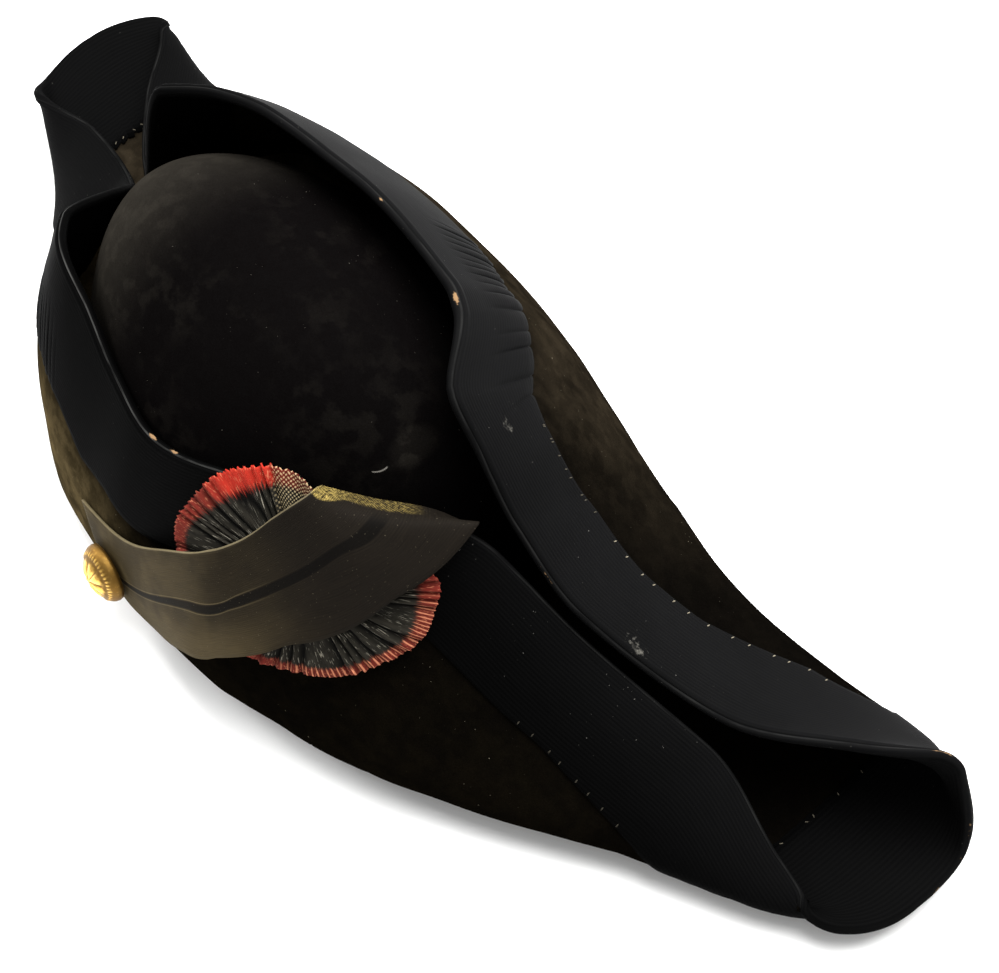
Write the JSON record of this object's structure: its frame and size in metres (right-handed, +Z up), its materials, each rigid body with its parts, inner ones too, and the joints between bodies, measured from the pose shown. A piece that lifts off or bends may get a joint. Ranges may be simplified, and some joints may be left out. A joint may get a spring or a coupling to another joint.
{
  "type": "bicorne",
  "caption": "Fore-and-aft felt bicorne with a ribbon-bound rim, a hollow crown, and a pleated cockade under a strap with a domed gilt button.",
  "frame": {"origin": "middle of the hat's bounding box, on the surface that the hat rests on", "axes": "+X towards the front horn, +Y towards the wearer's left, where the plain higher flap is, +Z up"},
  "size_m": [0.4804, 0.1888, 0.1255],
  "materials": {
    "crown_felt": "worn black felt gone brown",
    "brim_felt": "worn black felt faded to olive brown",
    "rim_silk": "finely ribbed black silk ribbon, slight sheen",
    "cockade_ribbon": "pleated ribbon, red edge round black and white",
    "strap_silk": "finely ribbed silk ribbon faded to olive, one dark stripe",
    "gilt_brass": "stamped gilt"
  },
  "bodies": {
    "root": {"crown": "crown_felt", "brim": "brim_felt", "rim_ribbon": "rim_silk", "cockade": "cockade_ribbon", "loop_strap": "strap_silk", "button": "gilt_brass"}
  },
  "joints": []
}
